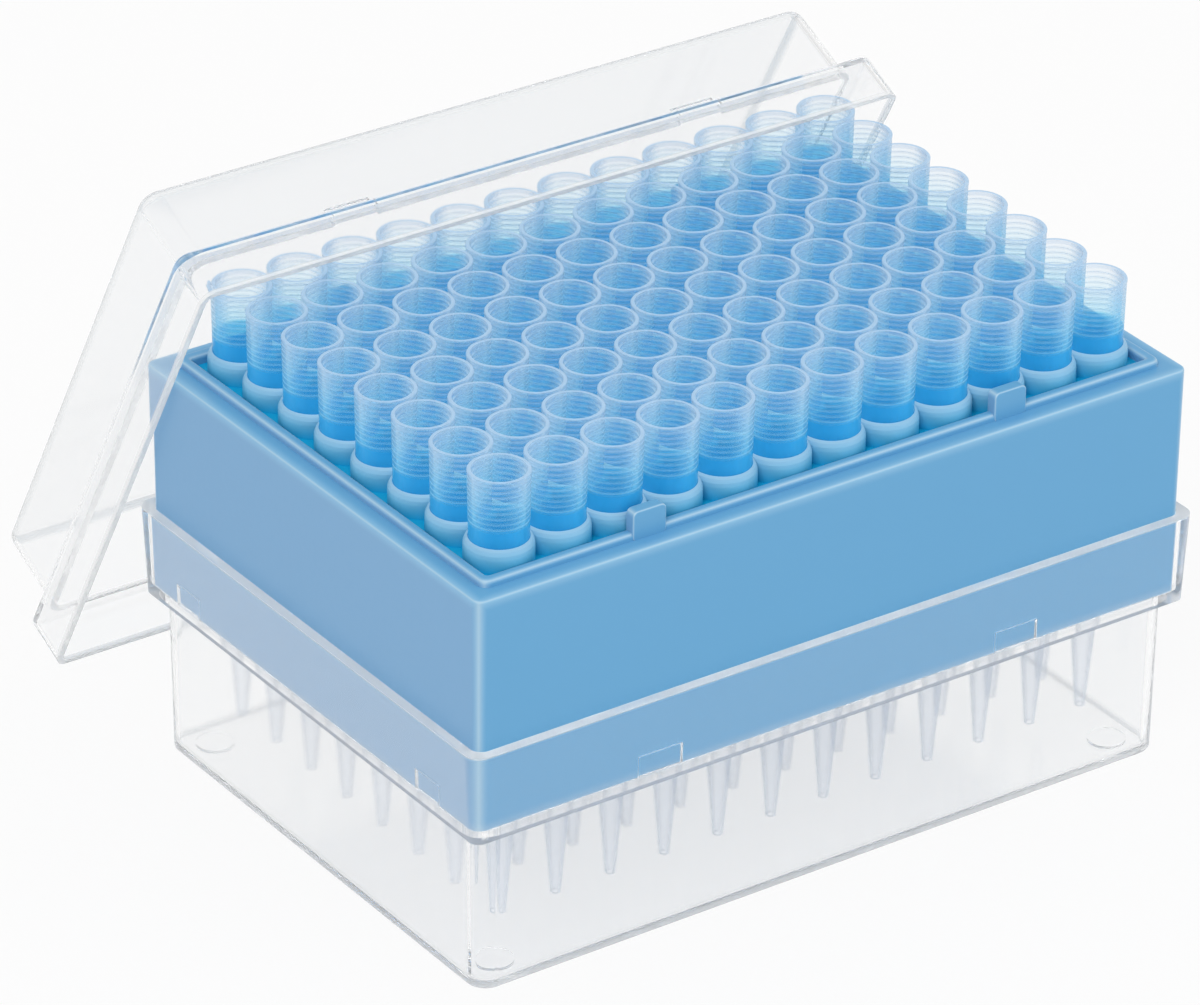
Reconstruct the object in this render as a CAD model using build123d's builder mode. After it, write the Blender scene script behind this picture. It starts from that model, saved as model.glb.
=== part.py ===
"""A box of pipette tips: a clear base, a blue rack, 96 tips and a clear lid that leans on the box.

Frame: millimetres, +Z up, the origin on the floor under the middle of the base.
X runs along the twelve columns of tips and Y along the eight rows.
"""
from build123d import *
import math
import os

# ---- the grid of tips, the same as the wells of a 96-well plate ----
COLUMNS = 12
ROWS = 8
PITCH = 9.0

# ---- heights above the floor ----
SEAT_Z = 26.5         # ledge in the base that the rack's foot stands on
SHOULDER_Z = 24.9     # underside of the base's collar
COLLAR_Z = 38.45      # top of the base's collar
LEDGE_Z = 61.2        # rim of the rack's top face, which the closed lid stands on

# ---- rack ----
RACK_MARGIN_X = 9.6   # from the outer columns' middle to the rack's outside, at the ledge
RACK_MARGIN_Y = 9.3
RACK_CORNER = 1.5
RACK_DRAFT = 0.4      # degrees
RACK_WALL = 1.9
RACK_EDGE = 0.4       # rounding of the top edge
DECK_SINK = 0.4       # the deck inside the bead lies this far below the ledge
DECK_THICK = 1.8
BEAD_INSET = 2.65     # from the rack's edge to the bead
BEAD_THICK = 1.7
BEAD_RISE = 1.1       # above the ledge
BEAD_CORNER = 1.5
BEAD_INNER_CORNER = 0.3
BEAD_ROUND = 0.7      # rounding along the top of the bead
TAB_X = 30.0          # from the middle of a long side to a tab
TAB_WIDTH = 5.4
TAB_RISE = 4.25       # above the ledge
TAB_PROUD = 0.15      # a tab stands out this far from the bead
TAB_CORNER = 0.9
TAB_EDGE = 0.3
RING_WALL = 0.68      # of the raised ring round each tip; neighbours run into each other
RING_RISE = 2.1       # straight part, above the deck
DOME_RISE = 1.4       # rounded part, above the straight part
DOME_LOW = (0.08, 0.42)   # the dome's two turns, as shares of the ring's wall and of the dome's rise
DOME_HIGH = (0.42, 0.8)

# ---- tips ----
TIP_END_Z = 6.5
TIP_TOP_RISE = 13.0   # rim of the tips, above the rack's ledge
TIP_SEAT_RISE = 0.3   # shoulder of the tips, above the rack's ledge
HEAD_RADIUS = 4.05    # from the shoulder up
RIM_FLARE = 0.27      # the rim stands out this far from the head
RIM_RISE = 1.3        # length of the flare under the rim
SHOULDER_WIDTH = 0.7  # from the neck to the head
POINT_LENGTH = 10.5   # steep part at the end
POINT_RADIUS = 1.6    # where the steep part starts
END_RADIUS = 0.72
POINT_BOW = 0.05      # the steep part is a little hollow
POINT_LENGTHS = 2
BODY_BOW = 0.06       # and the long part above it a little full
BODY_LENGTHS = 4
BORE_BOW = 0.05
BORE_LENGTHS = 5
MOUTH_WALL = 0.52     # at the rim
HEAD_WALL = 0.6       # just above the shoulder
NECK_WALL = 0.5       # just below the shoulder
END_WALL = 0.3        # at the end
BORE_HEAD_DEPTH = 11.0
BORE_NECK_DEPTH = 12.9
TIP_CLEARANCE = 0.1   # between a tip's head and the bore of its ring
NECK_CLEARANCE = 0.2  # between a tip's neck and the hole below its seat

# ---- base ----
BASE_INSET = 0.45     # the base's outside below the shoulder lies this far inside the rack's foot
BASE_CORNER = 3.5
BASE_DRAFT = 0.7      # degrees
BASE_WALL = 1.4
BASE_FLOOR = 1.1
BASE_EDGE = 0.8       # rounding round the floor
COLLAR_WALL = 1.5     # at its top
COLLAR_CORNER = 2.2
COLLAR_DRAFT = 2.8    # degrees
RACK_CLEARANCE = 0.2  # between the rack and the collar, all round
PAD_RADIUS = 2.75
PAD_RISE = 0.4
PAD_INSET_X = 6.0     # from the base's outside to a pad's centre
PAD_INSET_Y = 5.8
POCKET_WIDTH = 7.2    # on the long sides
END_POCKET_WIDTH = 5.6
END_POCKET_Y = 30.0
POCKET_RISE = 3.4
POCKET_DEPTH = 0.6

# ---- lid ----
LID_WALL = 0.95
LID_CLEARANCE = 0.3   # between the closed lid's skirt and the rack, all round
LID_SKIRT_DROP = 6.8  # how far the closed lid hangs below the ledge
LID_HEADROOM = 0.2    # between the closed lid's roof and the tips' rims
LID_DRAFT = 0.5       # degrees
LID_CORNER = 2.2
LID_CROWN_CORNER = 3.0
LID_BEAD_GAP = 0.35   # between the lid's crown and the rack's bead
LID_CROWN_EDGE = 1.6  # rounding round the closed face
LID_SHOULDER_EDGE = 0.6
LID_POCKET_WIDTH = 7.4
LID_POCKET_RISE = 3.0  # from the inside of the skirt's roof
LID_POCKET_DEPTH = 0.45

# ---- how the lid leans on the box ----
LID_TURN = 2.0        # degrees about the vertical
LID_CANT = 1.45       # degrees, right end down
LEAN_GAP = 0.2        # left between the lid and what it rests on


def rise(angle, height):
    """How far a face with this draft angle moves sideways over a height."""
    return height * math.tan(math.radians(angle))


def taper(start, end, bow, lengths):
    """One side of a long taper in straight lengths, bowed outwards by this much at its middle."""
    for length in range(lengths):
        ends = []
        for share in (length / lengths, (length + 1) / lengths):
            radius = start[0] + (end[0] - start[0]) * share + 4 * bow * share * (1 - share)
            ends.append((radius, start[1] + (end[1] - start[1]) * share))
        Bezier(*ends)


# ---- sizes that follow ----
deck_z = LEDGE_Z - DECK_SINK
ring_root_z = deck_z - DECK_THICK / 2  # the rings start inside the deck
straight_z = deck_z + RING_RISE
dome_z = straight_z + DOME_RISE
tip_seat_z = LEDGE_Z + TIP_SEAT_RISE
tip_top_z = LEDGE_Z + TIP_TOP_RISE
rim_radius = HEAD_RADIUS + RIM_FLARE
neck_radius = HEAD_RADIUS - SHOULDER_WIDTH
seat_bore = HEAD_RADIUS + TIP_CLEARANCE
ring_radius = seat_bore + RING_WALL
rack_length = (COLUMNS - 1) * PITCH + 2 * RACK_MARGIN_X
rack_width = (ROWS - 1) * PITCH + 2 * RACK_MARGIN_Y
foot_length = rack_length - 2 * rise(RACK_DRAFT, LEDGE_Z - SEAT_Z)
foot_width = rack_width - 2 * rise(RACK_DRAFT, LEDGE_Z - SEAT_Z)
bead_length = rack_length - 2 * BEAD_INSET
bead_width = rack_width - 2 * BEAD_INSET
base_length = foot_length - 2 * BASE_INSET
base_width = foot_width - 2 * BASE_INSET
collar_margin = rise(RACK_DRAFT, COLLAR_Z - SEAT_Z) + RACK_CLEARANCE + COLLAR_WALL
collar_length = foot_length + 2 * collar_margin
collar_width = foot_width + 2 * collar_margin


# ---- base: a drafted box with a wider collar, whose inner ledge carries the rack ----
with BuildPart() as base:
    with BuildSketch(Plane.XY.offset(SEAT_Z)):
        RectangleRounded(base_length, base_width, BASE_CORNER)
    extrude(amount=-SEAT_Z, taper=BASE_DRAFT)
    fillet(base.edges().group_by(Axis.Z)[0], BASE_EDGE)
    with BuildSketch(Plane.XY.offset(COLLAR_Z)):
        RectangleRounded(collar_length, collar_width, COLLAR_CORNER)
    extrude(amount=SHOULDER_Z - COLLAR_Z, taper=COLLAR_DRAFT)
    # the well below the ledge
    with BuildSketch(Plane.XY.offset(SEAT_Z)):
        RectangleRounded(base_length - 2 * BASE_WALL, base_width - 2 * BASE_WALL, BASE_CORNER - BASE_WALL)
    extrude(amount=BASE_FLOOR - SEAT_Z, taper=BASE_DRAFT, mode=Mode.SUBTRACT)
    # the socket that takes the rack
    with BuildSketch(Plane.XY.offset(SEAT_Z)):
        RectangleRounded(
            foot_length + 2 * RACK_CLEARANCE, foot_width + 2 * RACK_CLEARANCE, RACK_CORNER + RACK_CLEARANCE
        )
    extrude(amount=COLLAR_Z - SEAT_Z, taper=-RACK_DRAFT, mode=Mode.SUBTRACT)
    # shallow pockets in the socket's walls, just above the ledge
    for side in (-1, 1):
        wall_y = side * (foot_width / 2 + RACK_CLEARANCE)
        with Locations((-TAB_X, wall_y, SEAT_Z), (TAB_X, wall_y, SEAT_Z)):
            Box(
                POCKET_WIDTH, 2 * POCKET_DEPTH, POCKET_RISE,
                align=(Align.CENTER, Align.CENTER, Align.MIN), mode=Mode.SUBTRACT,
            )
        wall_x = side * (foot_length / 2 + RACK_CLEARANCE)
        with Locations((wall_x, -END_POCKET_Y, SEAT_Z), (wall_x, END_POCKET_Y, SEAT_Z)):
            Box(
                2 * POCKET_DEPTH, END_POCKET_WIDTH, POCKET_RISE,
                align=(Align.CENTER, Align.CENTER, Align.MIN), mode=Mode.SUBTRACT,
            )
    # four round pads on the floor of the well
    with BuildSketch(Plane.XY.offset(BASE_FLOOR)):
        with GridLocations(base_length - 2 * PAD_INSET_X, base_width - 2 * PAD_INSET_Y, 2, 2):
            Circle(PAD_RADIUS)
    extrude(amount=PAD_RISE)
base.part.label = "base"


# ---- the raised ring round one tip: a straight ring under a dome that closes in on the tip ----
with BuildPart() as tip_ring:
    with BuildSketch(Plane.XZ):
        with BuildLine():
            Polyline(
                (0, dome_z),
                (0, ring_root_z),
                (ring_radius, ring_root_z),
                (ring_radius, straight_z),
                (ring_radius - RING_WALL * DOME_LOW[0], straight_z + DOME_RISE * DOME_LOW[1]),
                (ring_radius - RING_WALL * DOME_HIGH[0], straight_z + DOME_RISE * DOME_HIGH[1]),
                (seat_bore, dome_z),
                (0, dome_z),
            )
        make_face()
    revolve(axis=Axis.Z)

# ---- the bead round the deck: a low wall with a round top, which centres the closed lid ----
with BuildPart() as bead:
    with BuildSketch(Plane.XY.offset(deck_z)):
        RectangleRounded(bead_length, bead_width, BEAD_CORNER)
        RectangleRounded(
            bead_length - 2 * BEAD_THICK, bead_width - 2 * BEAD_THICK, BEAD_INNER_CORNER, mode=Mode.SUBTRACT
        )
    extrude(amount=DECK_SINK + BEAD_RISE)
    fillet(bead.edges().group_by(Axis.Z)[-1], BEAD_ROUND)

# ---- one tab of the front long side, standing in the bead ----
with BuildPart() as tab:
    with BuildSketch(Plane.XZ.offset(bead_width / 2 + TAB_PROUD)) as tab_face:
        with Locations((0, deck_z)):
            Rectangle(TAB_WIDTH, LEDGE_Z + TAB_RISE - deck_z, align=(Align.CENTER, Align.MIN))
        fillet(tab_face.vertices().group_by(Axis.Z)[-1], TAB_CORNER)
    extrude(amount=-BEAD_THICK - TAB_PROUD)
    for face in (tab.faces().sort_by(Axis.Y)[0], tab.faces().sort_by(Axis.Y)[-1]):
        fillet(face.edges().sort_by(Axis.Z)[1:], TAB_EDGE)

# ---- rack: a skirt open underneath, with a deck of 96 rings, a bead round it and four tabs ----
with BuildPart() as rack:
    with BuildSketch(Plane.XY.offset(LEDGE_Z)):
        RectangleRounded(rack_length, rack_width, RACK_CORNER)
    extrude(amount=SEAT_Z - LEDGE_Z, taper=RACK_DRAFT)
    fillet(rack.edges().group_by(Axis.Z)[-1], RACK_EDGE)
    with BuildSketch(Plane.XY.offset(SEAT_Z)):
        RectangleRounded(foot_length - 2 * RACK_WALL, foot_width - 2 * RACK_WALL, RACK_CORNER)
    extrude(amount=deck_z - DECK_THICK - SEAT_Z, mode=Mode.SUBTRACT)
    with BuildSketch(Plane.XY.offset(deck_z)):
        Rectangle(bead_length - BEAD_THICK, bead_width - BEAD_THICK)  # from the middle of the bead inwards
    extrude(amount=DECK_SINK, mode=Mode.SUBTRACT)
    add(bead.part)
    with Locations((-TAB_X, 0), (TAB_X, 0)):
        add(tab.part)
        add(tab.part, rotation=(0, 0, 180))
    with GridLocations(PITCH, PITCH, COLUMNS, ROWS):
        add(tip_ring.part)
    # each tip's seat: a bore for its head above a smaller hole for its neck
    with Locations(Plane.XY.offset(dome_z)):
        with GridLocations(PITCH, PITCH, COLUMNS, ROWS):
            CounterBoreHole(
                neck_radius + NECK_CLEARANCE, seat_bore, dome_z - tip_seat_z, depth=dome_z - SEAT_Z
            )
rack.part.label = "rack"


# ---- one tip: a hollow taper whose shoulder stands on its seat in the rack ----
tip_end = (END_RADIUS, TIP_END_Z)
tip_point = (POINT_RADIUS, TIP_END_Z + POINT_LENGTH)
bore_end = (END_RADIUS - END_WALL, TIP_END_Z)
bore_mouth = (rim_radius - MOUTH_WALL, tip_top_z)
bore_head = (HEAD_RADIUS - HEAD_WALL, tip_top_z - BORE_HEAD_DEPTH)
bore_neck = (neck_radius - NECK_WALL, tip_top_z - BORE_NECK_DEPTH)
with BuildPart() as tip:
    with BuildSketch(Plane.XZ):
        with BuildLine():
            Line(bore_end, tip_end)
            taper(tip_end, tip_point, -POINT_BOW, POINT_LENGTHS)
            taper(tip_point, (neck_radius, tip_seat_z), BODY_BOW, BODY_LENGTHS)
            Polyline((neck_radius, tip_seat_z), (HEAD_RADIUS, tip_seat_z), (HEAD_RADIUS, tip_top_z - RIM_RISE))
            Bezier((HEAD_RADIUS, tip_top_z - RIM_RISE), (rim_radius, tip_top_z))
            Line((rim_radius, tip_top_z), bore_mouth)
            Bezier(bore_mouth, bore_head)
            Bezier(bore_head, bore_neck)
            taper(bore_neck, bore_end, BORE_BOW, BORE_LENGTHS)
        make_face()
    revolve(axis=Axis.Z)

tips = []
for column in range(COLUMNS):
    with BuildPart() as tips_column:
        with Locations(((column - (COLUMNS - 1) / 2) * PITCH, 0, 0)):
            with GridLocations(0, PITCH, 1, ROWS):
                add(tip.part)
    tips_column.part.label = f"tips_column_{column + 1:02d}"
    tips.append(tips_column.part)


# ---- lid: sizes when closed, measured from its rim ----
rim_length = rack_length + 2 * LID_CLEARANCE + 2 * LID_WALL
rim_width = rack_width + 2 * LID_CLEARANCE + 2 * LID_WALL
crown_length = bead_length + 2 * LID_BEAD_GAP + 2 * LID_WALL
crown_width = bead_width + 2 * LID_BEAD_GAP + 2 * LID_WALL
skirt_depth = LID_SKIRT_DROP + LID_WALL
lid_depth = skirt_depth + TIP_TOP_RISE + LID_HEADROOM

# The lid stands on its lower right corner, leans with its upper inner edge on the last tips of
# the back row, and its left end hangs on the back left corner of the rack's ledge.
cant = math.radians(LID_CANT)
last_tip_x = (COLUMNS - 1) / 2 * PITCH + rim_radius
foot_x = rim_length / 2 - LID_CORNER
upper_z = tip_top_z + LEAN_GAP - (foot_x - last_tip_x) * math.sin(cant)
lid_tilt = math.degrees(math.acos(upper_z / (rim_width - LID_WALL) / math.cos(cant)))
turned = Plane(Location((0, 0, 0), (0, 0, LID_TURN)))
lid_along = turned.x_dir.rotate(Axis((0, 0, 0), turned.y_dir), LID_CANT)
lid_way = turned.y_dir.rotate(Axis((0, 0, 0), lid_along), lid_tilt)  # from the rim to the closed face
lid_up = lid_along.cross(lid_way)                                    # from the lower to the upper long edge

# from the back left corner of the ledge to the middle of the lid's rim
held = Vector(-rack_length / 2, rack_width / 2, LEDGE_Z)
held_depth = skirt_depth - LID_WALL - LEAN_GAP
end_wall_slip = held_depth / lid_way.Y * lid_along.Y  # the turned end wall closes in on the rack's end
hung = held + lid_along * (rim_length / 2 - LID_WALL - LEAN_GAP - end_wall_slip) - lid_way * held_depth
rim_z = foot_x * math.sin(cant) + rim_width / 2 * lid_up.Z
lid_origin = hung - lid_up * ((hung.Z - rim_z) / lid_up.Z)
lid_plane = Plane(lid_origin, x_dir=lid_along, z_dir=lid_way)

with BuildPart() as lid:
    with BuildSketch(lid_plane):
        RectangleRounded(rim_length, rim_width, LID_CORNER)
    extrude(amount=skirt_depth, taper=LID_DRAFT)
    fillet(lid.edges().group_by(Axis(lid_origin, lid_way))[-1], LID_SHOULDER_EDGE)
    with BuildSketch(lid_plane.offset(skirt_depth - LID_WALL)):
        RectangleRounded(crown_length, crown_width, LID_CROWN_CORNER)
    extrude(amount=lid_depth - skirt_depth + LID_WALL, taper=LID_DRAFT)
    fillet(lid.edges().group_by(Axis(lid_origin, lid_way))[-1], LID_CROWN_EDGE)
    with BuildSketch(lid_plane):
        RectangleRounded(rim_length - 2 * LID_WALL, rim_width - 2 * LID_WALL, LID_CORNER - LID_WALL)
    extrude(amount=skirt_depth - LID_WALL, taper=LID_DRAFT, mode=Mode.SUBTRACT)
    with BuildSketch(lid_plane.offset(skirt_depth - LID_WALL)):
        RectangleRounded(crown_length - 2 * LID_WALL, crown_width - 2 * LID_WALL, LID_CROWN_CORNER - LID_WALL)
    extrude(amount=lid_depth - skirt_depth, taper=LID_DRAFT, mode=Mode.SUBTRACT)
    # shallow pockets that clear the rack's tabs
    with Locations(lid_plane.offset(skirt_depth - LID_WALL)):
        with GridLocations(2 * TAB_X, crown_width - 2 * LID_WALL, 2, 2):
            Box(
                LID_POCKET_WIDTH, 2 * LID_POCKET_DEPTH, LID_POCKET_RISE,
                align=(Align.CENTER, Align.CENTER, Align.MIN), mode=Mode.SUBTRACT,
            )
lid.part.label = "lid"


os.makedirs("parts", exist_ok=True)
for piece in (base.part, rack.part, *tips, lid.part):
    export_step(piece, f"parts/{piece.label}.step")
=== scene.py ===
"""An open box of pipette tips: a clear base, a blue rack, 96 tips and a clear lid that leans on the box."""
import math

import bpy
from mathutils import Matrix, Vector


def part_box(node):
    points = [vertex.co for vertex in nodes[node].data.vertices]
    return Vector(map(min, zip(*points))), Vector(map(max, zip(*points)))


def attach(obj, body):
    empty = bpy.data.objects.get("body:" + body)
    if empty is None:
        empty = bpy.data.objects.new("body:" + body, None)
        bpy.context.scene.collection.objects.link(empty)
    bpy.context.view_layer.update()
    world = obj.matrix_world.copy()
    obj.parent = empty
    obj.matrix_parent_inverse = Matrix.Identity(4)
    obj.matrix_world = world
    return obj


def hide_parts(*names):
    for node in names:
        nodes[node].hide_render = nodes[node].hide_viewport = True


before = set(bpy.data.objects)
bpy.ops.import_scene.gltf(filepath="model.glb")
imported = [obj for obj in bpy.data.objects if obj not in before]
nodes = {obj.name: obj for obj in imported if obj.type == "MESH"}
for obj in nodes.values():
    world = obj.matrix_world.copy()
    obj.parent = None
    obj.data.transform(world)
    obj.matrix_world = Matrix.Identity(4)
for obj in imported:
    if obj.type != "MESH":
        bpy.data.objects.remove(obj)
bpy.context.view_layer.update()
bpy.ops.object.select_all(action="DESELECT")
MM = 0.001
AXIS_UP = (0, 0, 1)

# ---- the grid of tips, read from the first and the last column ----
COLUMNS = [f"tips_column_{number:02d}" for number in range(1, 13)]
ROWS = 8
first_low, first_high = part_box(COLUMNS[0])
last_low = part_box(COLUMNS[-1])[0]
TIP_END = first_low.z
TIP_TOP = first_high.z
RIM_RADIUS = (first_high.x - first_low.x) / 2
PITCH = (last_low.x - first_low.x) / (len(COLUMNS) - 1)

# ---- the rack's deck, inside its bead ----
rack_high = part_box("rack")[1]
base_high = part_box("base")[1]
DECK = 60.8 * MM
LEDGE = 61.2 * MM
RING_RISE = 3.5 * MM
SEAT_BORE = 4.15 * MM
DECK_MARGIN = 4.35 * MM     # from the rack's side to the deck
DECK_HALF_LENGTH = rack_high.x - DECK_MARGIN
DECK_HALF_WIDTH = rack_high.y - DECK_MARGIN

# ---- one tip, in millimetres from its end or from its rim ----
SIDES = 32
END_RADIUS = 0.72
END_BORE = 0.42
WALL_AT_RIM = 0.6
SEAT_DEPTH = 12.7           # from the rim down to the shoulder
NECK_RADIUS = 3.35
HEAD_RADIUS = 4.05
SHOULDER_EDGE = 0.12
RIM_EDGE = 0.1
FLARE_DEPTH = 0.7           # the rim flares out over this depth
RING_COUNT = 9
RING_PITCH = 0.797
FIRST_LINE = 0.73           # below the rim, on the outside
FIRST_RING = 0.74           # below the rim, in the bore
RING_STEP = 0.2             # how far a ring stands into the bore
RING_SLOPE = 0.22           # from a ring's foot to its crest
RING_WIDTH = 0.4
RING_TAPER = 0.02           # each ring lies this much further in than the one above it
LAST_BORE_LINE = 4.9
RING_END = TIP_TOP - (FIRST_LINE + (RING_COUNT - 0.5) * RING_PITCH) * MM

# ---- clear polystyrene: (share of the way through the piece, how hazy and how much grey is painted in), the ends first ----
BASE_HAZE_AND_PAINTED_GREY = (
    (0.0, 0.4), (1.0, 0.6), (0.03, 0.35), (0.05, 0.0), (0.644, 0.0), (0.652, 0.2),
    (0.686, 0.2), (0.70, 0.08), (0.73, 0.0), (0.993, 0.0), (0.999, 0.6),
)
LID_HAZE_AND_PAINTED_GREY = (
    (0.0, 0.5), (1.0, 0.5), (0.06, 0.45), (0.085, 0.0), (0.965, 0.0), (0.98, 0.55),
)
CLEAR = (0.993, 0.996, 0.998)
# painted grey for the hazy bands, where the edges and the shoulder show grey by reflection and refraction
HAZY_PAINTED_GREY = (0.86, 0.89, 0.90)
LIGHT_THROUGH_CLEAR = (0.98, 0.985, 0.99)
PLATE_SHARE = 0.1           # the floor or the roof lies within this share
MOST_TURNS = 7.5            # light that turned more often goes straight on

# ---- natural polypropylene: its colour, with the rack's blue and the light and shade among the tips painted in by height, its painted highlights, and what passes through, tinted with painted blue ----
MILK_AND_PAINTED_BLUE = {
    "rim": (0.47, 0.68, 0.91),
    "rings": (0.19, 0.65, 0.99),
    "smooth": (0.05, 0.46, 0.91),
    "below": (0.74, 0.82, 0.94),
}
# painted highlights: the lighter colour used on the ring lines and the rim
PAINTED_HIGHLIGHT_MILK = {
    "rim": (0.48, 0.70, 0.93),
    "rings": (0.31, 0.74, 1.0),
    "smooth": (0.15, 0.60, 0.98),
    "below": (0.72, 0.80, 0.92),
}
LIGHT_THROUGH_MILK_AND_PAINTED_BLUE = {
    "rim": (0.985, 0.992, 0.998),
    "rings": (0.88, 0.98, 0.998),
    "smooth": (0.56, 0.93, 0.985),
    "below": (0.985, 0.99, 0.997),
}
# how milky the smooth band is made, so that its painted deep blue shows
SMOOTH_BAND_PAINTED_BLUE_SHARE = 0.45
# haze with painted highlight on the rim band and on upward faces
RIM_HAZE_AND_PAINTED_HIGHLIGHT = 0.10
TOP_HAZE_AND_PAINTED_HIGHLIGHT = 0.08
EDGE_HAZE = 0.34

# ---- blue polypropylene ----
# painted light among the tips: deeper blue on the deck and in the bores for shade and for light passed
# through the plastic, lighter up the rings to a painted highlight on their tops
DECK_PAINTED_SHADE_BLUE = (0.008, 0.46, 0.80)
RING_SIDE_BLUE = (0.14, 0.52, 0.80)
RING_TOP_PAINTED_HIGHLIGHT_BLUE = (0.30, 0.56, 0.80)
BORE_PAINTED_SHADE_BLUE = (0.004, 0.42, 0.85)
SIDE_BLUE = (0.14, 0.41, 0.69)
END_FACE_PAINTED_LIGHT_BLUE = (0.20, 0.425, 0.69)
NEAR_EDGE_PAINTED_HIGHLIGHT_BLUE = (0.27, 0.545, 0.79)
EDGE_PAINTED_HIGHLIGHT_BLUE = (0.42, 0.64, 0.81)
PAINTED_HIGHLIGHT_REACH = 1.7 * MM       # how far the painted highlight runs in from an edge


# ---- the shape of a tip ----
def outside():
    """(radius, height) up the outside of a tip, in millimetres above its end."""
    top = (TIP_TOP - TIP_END) / MM
    seat = top - SEAT_DEPTH
    rim = RIM_RADIUS / MM
    return [
        (END_RADIUS, 0.0),
        (1.15, 5.3),
        (1.6, 10.5),
        (1.98, 19.5),
        (2.55, 34.0),
        (3.0, 46.0),
        (NECK_RADIUS, seat),
        (HEAD_RADIUS - SHOULDER_EDGE, seat),
        (HEAD_RADIUS, seat + SHOULDER_EDGE),
        (rim - 0.05, top - FLARE_DEPTH),
        (rim, top - 0.15),
        (rim - RIM_EDGE, top),
    ]


def inside():
    """(radius, height) down the bore of a tip, over its rings, to just above its end."""
    top = (TIP_TOP - TIP_END) / MM
    bore = RIM_RADIUS / MM - WALL_AT_RIM
    points = [(bore + 0.05, top), (bore, top - 0.12)]
    for ring in range(RING_COUNT):
        above = top - FIRST_RING - ring * RING_PITCH
        wide = bore - ring * RING_TAPER
        points += [
            (wide, above),
            (wide - RING_STEP, above - RING_SLOPE),
            (wide, above - RING_WIDTH),
        ]
    points += [
        (bore - 0.26, top - FIRST_RING - RING_COUNT * RING_PITCH),
        (3.45, top - 10.9),
        (2.85, top - 12.6),
        (2.2, 36.0),
        (1.45, 18.0),
        (1.05, 10.0),
        (END_BORE, 0.12),
    ]
    return points


def model_tip():
    """A ring of edges drawn up the outside, over the rim and down the bore."""
    bpy.ops.mesh.primitive_circle_add(vertices=SIDES, radius=END_BORE * MM, location=(0, 0, TIP_END))
    tip = bpy.context.object
    bpy.ops.object.mode_set(mode="EDIT")
    bpy.ops.mesh.select_all(action="SELECT")
    radius, height = END_BORE, 0.0
    for next_radius, next_height in outside() + inside() + [(END_BORE, 0.0)]:
        bpy.ops.mesh.extrude_region_move(
            TRANSFORM_OT_translate={"value": (0, 0, (next_height - height) * MM)}
        )
        bpy.ops.transform.resize(
            value=(next_radius / radius, next_radius / radius, 1), center_override=(0, 0, 0)
        )
        radius, height = next_radius, next_height
    bpy.ops.mesh.select_all(action="SELECT")
    bpy.ops.mesh.remove_doubles(threshold=0.01 * MM)
    bpy.ops.mesh.normals_make_consistent(inside=False)
    bpy.ops.object.mode_set(mode="OBJECT")
    bpy.ops.object.transform_apply(location=True, rotation=True, scale=True)
    bpy.ops.object.shade_smooth_by_angle(angle=math.radians(38))
    return tip


def copy_at(original, x, y):
    """A copy with its own mesh, moved in its mesh."""
    copy = original.copy()
    copy.data = original.data.copy()
    copy.data.transform(Matrix.Translation((x, y, 0)))
    bpy.context.scene.collection.objects.link(copy)
    return copy


# ---- steps that the materials share; a value is a number or another step's output ----
def new_material(name):
    material = bpy.data.materials.new(name)
    material.use_nodes = True
    return material, material.node_tree, material.node_tree.nodes["Principled BSDF"]


def calculate(tree, operation, *values):
    """One step of arithmetic."""
    step = tree.nodes.new("ShaderNodeMath")
    step.operation = operation
    for slot, value in zip(step.inputs, values):
        if isinstance(value, (int, float)):
            slot.default_value = value
        else:
            tree.links.new(value, slot)
    return step.outputs[0]


def between(tree, value, low, high, to_low=0.0, to_high=1.0, soft=False):
    """Runs from one value to another while its input runs from low to high."""
    step = tree.nodes.new("ShaderNodeMapRange")
    if soft:
        step.interpolation_type = "SMOOTHSTEP"
    tree.links.new(value, step.inputs["Value"])
    step.inputs["From Min"].default_value = low
    step.inputs["From Max"].default_value = high
    step.inputs["To Min"].default_value = to_low
    step.inputs["To Max"].default_value = to_high
    return step.outputs["Result"]


def blend(tree, share, first, second):
    """One colour running into another."""
    step = tree.nodes.new("ShaderNodeMix")
    step.data_type = "RGBA"
    tree.links.new(share, step.inputs["Factor"])
    for slot, colour in (("A", first), ("B", second)):
        if isinstance(colour, tuple):
            step.inputs[slot].default_value = (*colour, 1)
        else:
            tree.links.new(colour, step.inputs[slot])
    return step.outputs["Result"]


def ramp(tree, value, stops):
    """A colour for each place along a value; the first two stops are its ends."""
    step = tree.nodes.new("ShaderNodeValToRGB")
    elements = step.color_ramp.elements
    for number, (position, colour) in enumerate(stops):
        element = elements[number] if number < 2 else elements.new(position)
        element.position = position
        element.color = (*colour, 1)
    tree.links.new(value, step.inputs["Fac"])
    return step.outputs["Color"]


def split(tree, vector):
    """The X, Y and Z of a vector."""
    step = tree.nodes.new("ShaderNodeSeparateXYZ")
    tree.links.new(vector, step.inputs[0])
    return step.outputs


def along(tree, vector, way):
    """How far a vector reaches along one way."""
    step = tree.nodes.new("ShaderNodeVectorMath")
    step.operation = "DOT_PRODUCT"
    step.inputs[1].default_value = way
    tree.links.new(vector, step.inputs[0])
    return step.outputs["Value"]


def turned_away(tree, start, end, most):
    """How much a surface is turned away, for the clearness of thin plastic."""
    weight = tree.nodes.new("ShaderNodeLayerWeight")
    weight.inputs["Blend"].default_value = 0.5
    return between(tree, weight.outputs["Facing"], start, end, 0.0, most)


def set_bump(tree, shader, height, strength, distance):
    bump = tree.nodes.new("ShaderNodeBump")
    bump.inputs["Strength"].default_value = strength
    bump.inputs["Distance"].default_value = distance
    tree.links.new(height, bump.inputs["Height"])
    tree.links.new(bump.outputs["Normal"], shader.inputs["Normal"])


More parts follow.
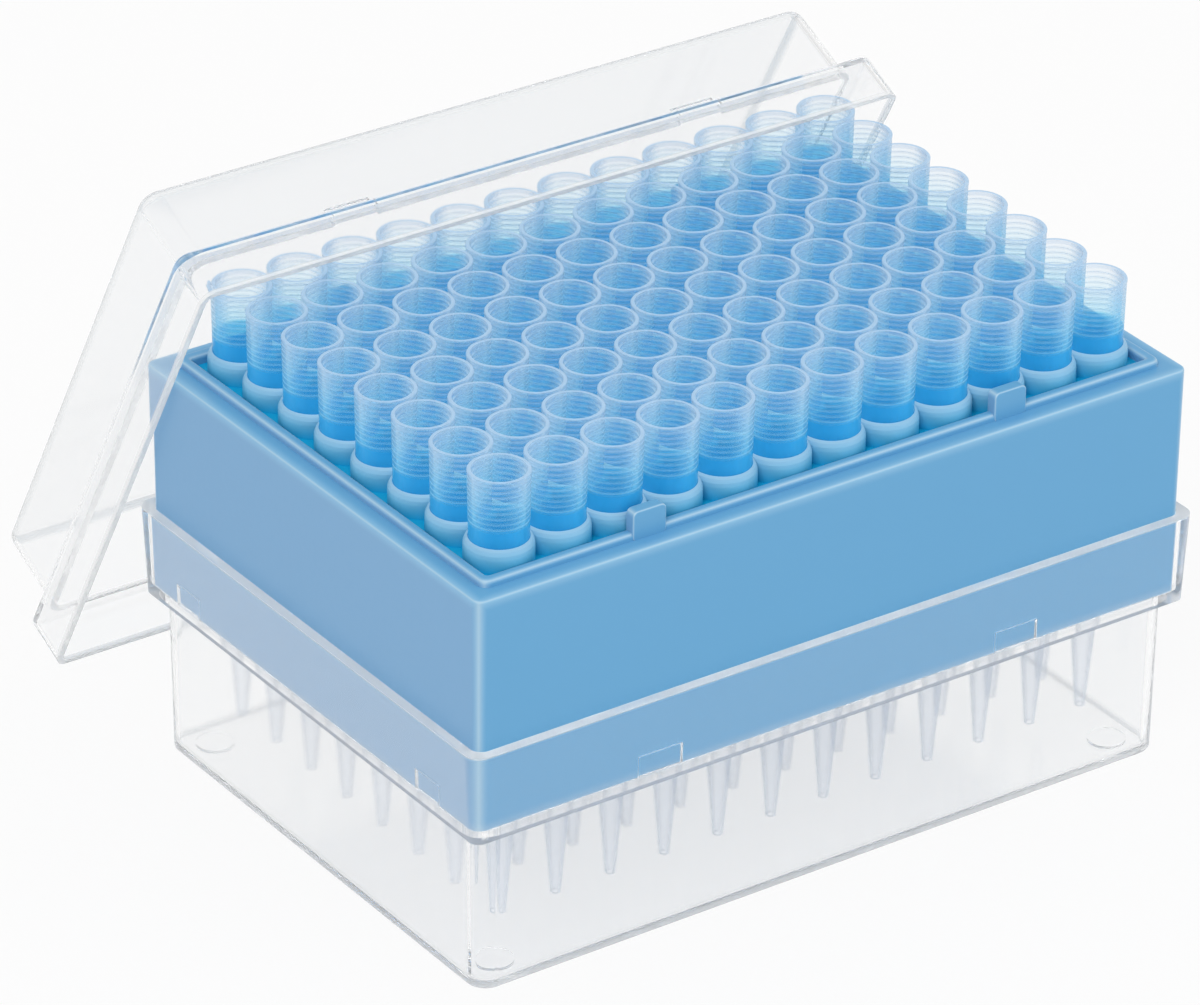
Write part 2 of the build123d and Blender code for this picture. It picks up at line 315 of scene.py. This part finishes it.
def moulded_finish(tree, shader, scale, strength, smoothest, roughest):
    """A shallow moulded unevenness and an uneven gloss, in Object coordinates."""
    place = tree.nodes.new("ShaderNodeTexCoord")
    noise = tree.nodes.new("ShaderNodeTexNoise")
    noise.inputs["Scale"].default_value = scale
    noise.inputs["Detail"].default_value = 3
    tree.links.new(place.outputs["Object"], noise.inputs["Vector"])
    set_bump(tree, shader, noise.outputs["Fac"], strength, 0.2 * MM)
    roughness = between(tree, noise.outputs["Fac"], 0.3, 0.7, smoothest, roughest)
    tree.links.new(roughness, shader.inputs["Roughness"])


def see_through(tree, share, shader, colour):
    """Mixes a surface with what lies behind it; at 1 only the surface shows."""
    clear = tree.nodes.new("ShaderNodeBsdfTransparent")
    if isinstance(colour, tuple):
        clear.inputs["Color"].default_value = (*colour, 1)
    else:
        tree.links.new(colour, clear.inputs["Color"])
    mix = tree.nodes.new("ShaderNodeMixShader")
    tree.links.new(share, mix.inputs["Fac"])
    tree.links.new(clear.outputs[0], mix.inputs[1])
    tree.links.new(shader.outputs[0], mix.inputs[2])
    tree.links.new(mix.outputs[0], tree.nodes["Material Output"].inputs["Surface"])


# ---- clear polystyrene ----
def clear_polystyrene(name, way, first, last, hazy):
    """
    Glass-clear, a little hazy at a shallow angle, and hazy in bands that are painted grey for the grey
    that its edges, and the base's shoulder, show by reflection and refraction. The bands lie along one way
    through the piece, and each is given as its share of the distance from the first place to the last.
    """
    material, tree, shader = new_material(name)
    shader.inputs["IOR"].default_value = 1.5
    moulded_finish(tree, shader, 60, 0.02, 0.075, 0.085)
    place = tree.nodes.new("ShaderNodeTexCoord")
    share = between(tree, along(tree, place.outputs["Object"], way), first, last)
    bands = ramp(tree, share, [(position, (amount,) * 3) for position, amount in hazy])
    # the flat of the floor or the roof stays clear
    flat = calculate(tree, "ABSOLUTE", along(tree, place.outputs["Normal"], way))
    flat = calculate(tree, "GREATER_THAN", flat, 0.98)
    low = calculate(tree, "LESS_THAN", share, PLATE_SHARE)
    plate = calculate(tree, "MULTIPLY", flat, low)
    bands = calculate(tree, "SUBTRACT", bands, plate)
    # painted grey in the bands, for the grey that the edges and the shoulder show by reflection and
    # refraction
    tree.links.new(blend(tree, bands, CLEAR, HAZY_PAINTED_GREY), shader.inputs["Base Color"])
    haze = calculate(tree, "MAXIMUM", turned_away(tree, 0.35, 0.95, 0.3), bands)
    clearness = calculate(tree, "SUBTRACT", 1.0, haze)
    tree.links.new(clearness, shader.inputs["Transmission Weight"])
    # shadows and light trapped inside go straight on
    ray = tree.nodes.new("ShaderNodeLightPath")
    straight = calculate(
        tree, "MAXIMUM", ray.outputs["Is Shadow Ray"], ray.outputs["Is Diffuse Ray"]
    )
    trapped = calculate(tree, "GREATER_THAN", ray.outputs["Ray Depth"], MOST_TURNS)
    straight = calculate(tree, "MAXIMUM", straight, trapped)
    bends = calculate(tree, "SUBTRACT", 1.0, straight)
    see_through(tree, bends, shader, LIGHT_THROUGH_CLEAR)
    return material


# ---- natural polypropylene ----
def ring_lines(tree, height, first_line, last_line):
    """1 on each ring line down to the last one, and 0 between them."""
    turns = 2 * math.pi / RING_PITCH
    first_turn = (TIP_TOP / MM - first_line) * turns
    line = calculate(tree, "MULTIPLY_ADD", height, turns / MM, -first_turn)
    line = between(tree, calculate(tree, "COSINE", line), -0.1, 0.95)
    lined = between(tree, height, last_line - 0.3 * MM, last_line + 0.3 * MM)
    return calculate(tree, "MULTIPLY", line, lined)


def natural_polypropylene(name, haze, lower_haze, first_line, last_line, line_haze_and_painted_highlight):
    """
    A thin milky plastic. It is nearly clear below the rack and at the rim. From the shoulder up, the
    rack's blue seen through it is painted into its colour and into what passes through, with the light and
    shade among the tips painted by height, and painted highlights make it lighter on its rings and at the
    rim.
    """
    material, tree, shader = new_material(name)
    shader.inputs["IOR"].default_value = 1.49
    shader.inputs["Specular IOR Level"].default_value = 0.2
    place = tree.nodes.new("ShaderNodeTexCoord")
    height = split(tree, place.outputs["Object"])["Z"]
    upright = split(tree, place.outputs["Normal"])["Z"]
    # where a point lies: above the seat, in the smooth band above it, how deep below the rim
    above_seat = between(tree, height, DECK - 10 * MM, DECK + 1 * MM)
    below_rings = between(tree, height, RING_END + 0.2 * MM, RING_END - 0.2 * MM)
    smooth = calculate(tree, "MULTIPLY", below_rings, above_seat)
    depth = between(tree, height, TIP_TOP - 0.3 * MM, RING_END)
    # its ring lines
    line = ring_lines(tree, height, first_line, last_line)
    set_bump(tree, shader, line, 0.2, 0.05 * MM)
    tree.links.new(between(tree, line, 0.0, 1.0, 0.24, 0.30), shader.inputs["Roughness"])
    # painted highlight: the ring lines are made milkier and lighter
    line = calculate(tree, "MULTIPLY", line, line_haze_and_painted_highlight)
    # its rim
    # painted highlight: the rim band and the upward faces are made milkier and lighter
    rim = between(tree, height, TIP_TOP - 0.7 * MM, TIP_TOP - 0.5 * MM)
    rim = calculate(tree, "MULTIPLY", rim, RIM_HAZE_AND_PAINTED_HIGHLIGHT)
    top = between(tree, calculate(tree, "ABSOLUTE", upright), 0.5, 0.9)
    rim = calculate(tree, "MULTIPLY_ADD", top, TOP_HAZE_AND_PAINTED_HIGHLIGHT, rim)
    haze_and_painted_highlight = calculate(tree, "ADD", line, rim)
    # how milky it is
    # painted blue: the smooth band is made milky to show its painted deep blue
    body = between(tree, smooth, 0.0, 1.0, haze, max(haze, SMOOTH_BAND_PAINTED_BLUE_SHARE))
    milk = calculate(tree, "ADD", body, haze_and_painted_highlight)
    milk = calculate(tree, "ADD", milk, turned_away(tree, 0.16, 0.45, EDGE_HAZE))
    below_milk = between(tree, above_seat, 0.0, 1.0, lower_haze, 1.0)
    milk = calculate(tree, "MULTIPLY", milk, below_milk)
    # the milk's colour, painted by height: the rack's blue seen through it from the shoulder up, deepest in
    # the smooth band, and the light and shade among the tips
    colour = blend(tree, depth, MILK_AND_PAINTED_BLUE["rim"], MILK_AND_PAINTED_BLUE["rings"])
    colour = blend(tree, above_seat, MILK_AND_PAINTED_BLUE["below"], colour)
    colour = blend(tree, smooth, colour, MILK_AND_PAINTED_BLUE["smooth"])
    painted_highlight_colour = blend(tree, depth, PAINTED_HIGHLIGHT_MILK["rim"], PAINTED_HIGHLIGHT_MILK["rings"])
    painted_highlight_colour = blend(tree, smooth, painted_highlight_colour, PAINTED_HIGHLIGHT_MILK["smooth"])
    painted_highlight_colour = blend(tree, above_seat, PAINTED_HIGHLIGHT_MILK["below"], painted_highlight_colour)
    # painted highlight colour on the ring lines and the rim
    painted_highlight_share = between(tree, haze_and_painted_highlight, 0.0, 0.17)
    tree.links.new(blend(tree, painted_highlight_share, colour, painted_highlight_colour), shader.inputs["Base Color"])
    # what passes through, tinted with painted blue from the shoulder up, deepest in the smooth band
    passing = blend(tree, depth, LIGHT_THROUGH_MILK_AND_PAINTED_BLUE["rim"], LIGHT_THROUGH_MILK_AND_PAINTED_BLUE["rings"])
    passing = blend(tree, smooth, passing, LIGHT_THROUGH_MILK_AND_PAINTED_BLUE["smooth"])
    passing = blend(tree, above_seat, LIGHT_THROUGH_MILK_AND_PAINTED_BLUE["below"], passing)
    see_through(tree, milk, shader, passing)
    return material


# ---- blue polypropylene ----
def blue_among_tips(tree, part):
    """Painted light and shade: a deeper blue painted on the deck and in the bores for the shade among the
    tips and the light that has passed through the plastic, and a lighter blue up the rings to a painted
    highlight on their tops.
    """
    lift = between(tree, part["Z"], DECK, DECK + RING_RISE)
    colour = ramp(tree, lift, [(0.0, DECK_PAINTED_SHADE_BLUE), (1.0, RING_TOP_PAINTED_HIGHLIGHT_BLUE), (0.5, RING_SIDE_BLUE)])
    from_axis = tree.nodes.new("ShaderNodeCombineXYZ")
    for axis in "XY":
        offset = calculate(tree, "SUBTRACT", part[axis], PITCH / 2)
        offset = calculate(tree, "WRAP", offset, PITCH / 2, -PITCH / 2)
        tree.links.new(offset, from_axis.inputs[axis])
    radius = tree.nodes.new("ShaderNodeVectorMath")
    radius.operation = "LENGTH"
    tree.links.new(from_axis.outputs[0], radius.inputs[0])
    in_bore = calculate(tree, "LESS_THAN", radius.outputs["Value"], SEAT_BORE + 0.01 * MM)
    # painted shade: a deeper blue in the bores
    return blend(tree, in_bore, colour, BORE_PAINTED_SHADE_BLUE)


def distance_from_edge(tree, part):
    """How far a point of the skirt lies from the rim or from the nearest upright corner."""
    inset = {}
    for axis, half in (("X", rack_high.x), ("Y", rack_high.y)):
        middle = calculate(tree, "ABSOLUTE", part[axis])
        inset[axis] = calculate(tree, "SUBTRACT", half, middle)
    below = calculate(tree, "SUBTRACT", LEDGE, part["Z"])
    below = calculate(tree, "MAXIMUM", below, 0.0)
    inner = calculate(tree, "MINIMUM", inset["X"], inset["Y"])
    from_rim = calculate(tree, "ADD", below, inner)
    from_corner = calculate(tree, "ADD", inset["X"], inset["Y"])
    return calculate(tree, "MINIMUM", from_rim, from_corner)


def blue_outside(tree, part, facing):
    """A touch greyer, warmer blue painted on both end faces for the key lamp's warm light, and painted
    highlights towards an edge and where it turns one.
    """
    # painted light: both end faces take a warmer blue for the key lamp's warm light
    end_face = between(tree, calculate(tree, "ABSOLUTE", facing["X"]), 0.7, 1.0)
    colour = blend(tree, end_face, SIDE_BLUE, END_FACE_PAINTED_LIGHT_BLUE)
    # painted highlight: a lighter blue running in from the rim and the upright corners
    near = between(tree, distance_from_edge(tree, part), PAINTED_HIGHLIGHT_REACH, -0.1 * MM, soft=True)
    colour = blend(tree, near, colour, NEAR_EDGE_PAINTED_HIGHLIGHT_BLUE)
    # painted highlight: a lighter blue where the surface turns round an edge
    main = 0.0
    for axis in "XYZ":
        main = calculate(tree, "MAXIMUM", main, calculate(tree, "ABSOLUTE", facing[axis]))
    return blend(tree, between(tree, main, 1.0, 0.7), colour, EDGE_PAINTED_HIGHLIGHT_BLUE)


def blue_polypropylene(name):
    """Sky blue, with painted highlights along its edges, and deeper among the tips with painted shade and
    the light that has passed through it.
    """
    material, tree, shader = new_material(name)
    shader.inputs["IOR"].default_value = 1.49
    shader.inputs["Specular IOR Level"].default_value = 0.35
    moulded_finish(tree, shader, 900, 0.04, 0.31, 0.37)
    place = tree.nodes.new("ShaderNodeTexCoord")
    part = split(tree, place.outputs["Object"])
    facing = split(tree, place.outputs["Normal"])
    on_deck = 1.0
    for axis, half in (("X", DECK_HALF_LENGTH), ("Y", DECK_HALF_WIDTH)):
        within = calculate(tree, "LESS_THAN", calculate(tree, "ABSOLUTE", part[axis]), half)
        on_deck = calculate(tree, "MULTIPLY", on_deck, within)
    colour = blend(tree, on_deck, blue_outside(tree, part, facing), blue_among_tips(tree, part))
    tree.links.new(colour, shader.inputs["Base Color"])
    return material


base_clear = clear_polystyrene("clear_base", AXIS_UP, 0.0, base_high.z, BASE_HAZE_AND_PAINTED_GREY)

# the lid lies turned: the inside of its roof is its largest face, and looks towards its rim
lid_mesh = nodes["lid"].data
roof = max(lid_mesh.polygons, key=lambda face: face.area)
reach = [roof.normal.dot(vertex.co) for vertex in lid_mesh.vertices]
lid_clear = clear_polystyrene("clear_lid", roof.normal, min(reach), max(reach), LID_HAZE_AND_PAINTED_GREY)
tip_outside = natural_polypropylene("natural_tips", 0.12, 0.8, FIRST_LINE, RING_END, 0.17)
tip_bore = natural_polypropylene(
    "natural_tip_bores", 0.0, 0.0, FIRST_RING + RING_SLOPE, TIP_TOP - LAST_BORE_LINE * MM, 0.14
)
rack_blue = blue_polypropylene("blue_rack")
for node, material in (("base", base_clear), ("lid", lid_clear), ("rack", rack_blue)):
    for slot in nodes[node].material_slots:
        slot.material = material

# ---- tips: one is modelled, then copied into eight rows for each column ----
tip = model_tip()
tip.data.materials.append(tip_outside)
tip.data.materials.append(tip_bore)
for face in tip.data.polygons:
    outwards = face.normal.x * face.center.x + face.normal.y * face.center.y
    if outwards < 0:
        face.material_index = 1
for name in COLUMNS:
    low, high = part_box(name)
    x = (low.x + high.x) / 2
    copies = [copy_at(tip, x, low.y + RIM_RADIUS + row * PITCH) for row in range(ROWS)]
    bpy.ops.object.select_all(action="DESELECT")
    for copy in copies:
        copy.select_set(True)
    bpy.context.view_layer.objects.active = copies[0]
    bpy.ops.object.join()
    column = bpy.context.object
    column.name = name.replace("tips_column", "column_of_tips")
    # taken as so thin and clear that they neither shade nor tint what stands near them
    column.visible_shadow = False
    column.visible_diffuse = False
    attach(column, "root")
    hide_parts(name)
bpy.data.objects.remove(tip)


# ---- floor ----
def white_stage(name):
    """Shows nearly white to the camera and through the clear plastic, and keeps a soft shadow."""
    material, tree, shader = new_material(name)
    tree.nodes.remove(shader)
    diffuse = tree.nodes.new("ShaderNodeBsdfDiffuse")
    diffuse.inputs["Color"].default_value = (0.9, 0.9, 0.9, 1)
    glow = tree.nodes.new("ShaderNodeEmission")
    glow.inputs["Color"].default_value = (1, 1, 1, 1)
    glow.inputs["Strength"].default_value = 1.0
    ray = tree.nodes.new("ShaderNodeLightPath")
    seen = calculate(tree, "MAXIMUM", ray.outputs["Is Camera Ray"], ray.outputs["Is Glossy Ray"])
    seen = calculate(tree, "MAXIMUM", seen, ray.outputs["Is Transmission Ray"])
    mix = tree.nodes.new("ShaderNodeMixShader")
    tree.links.new(calculate(tree, "MULTIPLY", seen, 0.9), mix.inputs["Fac"])
    tree.links.new(diffuse.outputs[0], mix.inputs[1])
    tree.links.new(glow.outputs[0], mix.inputs[2])
    tree.links.new(mix.outputs[0], tree.nodes["Material Output"].inputs["Surface"])
    return material


bpy.ops.mesh.primitive_plane_add(size=6, location=(0, 0, -0.05 * MM))
floor = bpy.context.object
bpy.ops.object.transform_apply(location=True, rotation=True, scale=True)
floor.name = "floor"
floor.data.materials.append(white_stage("white_floor"))

# ---- world and lamps ----
WORLD_LIGHT = 0.62          # on the object
WORLD_IN_PLASTIC = 0.8      # as reflected by the plastic, or seen through it

world = bpy.data.worlds.new("studio")
bpy.context.scene.world = world
world.use_nodes = True
background = world.node_tree.nodes["Background"]
background.inputs["Color"].default_value = (1, 1, 1, 1)
ray = world.node_tree.nodes.new("ShaderNodeLightPath")
in_plastic = calculate(
    world.node_tree, "MAXIMUM", ray.outputs["Is Glossy Ray"], ray.outputs["Is Transmission Ray"]
)
strength = between(world.node_tree, in_plastic, 0.0, 1.0, WORLD_LIGHT, WORLD_IN_PLASTIC)
strength = calculate(world.node_tree, "MAXIMUM", strength, ray.outputs["Is Camera Ray"])
world.node_tree.links.new(strength, background.inputs["Strength"])


def soft_lamp(name, place, aim, size, power, colour):
    light = bpy.data.lights.new(name, "AREA")
    light.size = size
    light.energy = power
    light.color = colour
    lamp = bpy.data.objects.new(name, light)
    bpy.context.scene.collection.objects.link(lamp)
    lamp.location = place
    lamp.rotation_euler = (Vector(place) - Vector(aim)).to_track_quat("Z", "Y").to_euler()


LAMP_AIM = (0, 0, 0.03)
soft_lamp("key", (-0.9, -0.6, 1.3), LAMP_AIM, 0.9, 9, (1.0, 0.965, 0.95))
soft_lamp("fill", (0.9, -1.0, 0.7), LAMP_AIM, 0.9, 4, (0.95, 0.98, 1.0))

# ---- camera ----
CAMERA_PLACE = (-0.5258, -0.7340, 0.53735)
CAMERA_TURN = -35.07        # degrees, to the side
CAMERA_DOWN = 28.88         # degrees, below level
CAMERA_ROLL = 0.65          # degrees

view = bpy.data.cameras.new("camera")
view.sensor_width = 36
view.lens = 222.0
view.shift_x = -0.00375
camera = bpy.data.objects.new("camera", view)
bpy.context.scene.collection.objects.link(camera)
camera.location = CAMERA_PLACE
turn = Matrix.Rotation(math.radians(CAMERA_TURN), 4, "Z")
nod = Matrix.Rotation(math.radians(90 - CAMERA_DOWN), 4, "X")
roll = Matrix.Rotation(math.radians(CAMERA_ROLL), 4, "Z")
camera.rotation_euler = (turn @ nod @ roll).to_euler()
bpy.context.scene.camera = camera

# ---- how light is followed through the many clear walls ----
scene = bpy.context.scene
scene.view_settings.view_transform = "Standard"
scene.cycles.max_bounces = 24
scene.cycles.transmission_bounces = 24
scene.cycles.glossy_bounces = 24
scene.cycles.diffuse_bounces = 2
scene.cycles.use_light_tree = False
scene.cycles.light_sampling_threshold = 0.1
scene.cycles.transparent_max_bounces = 96
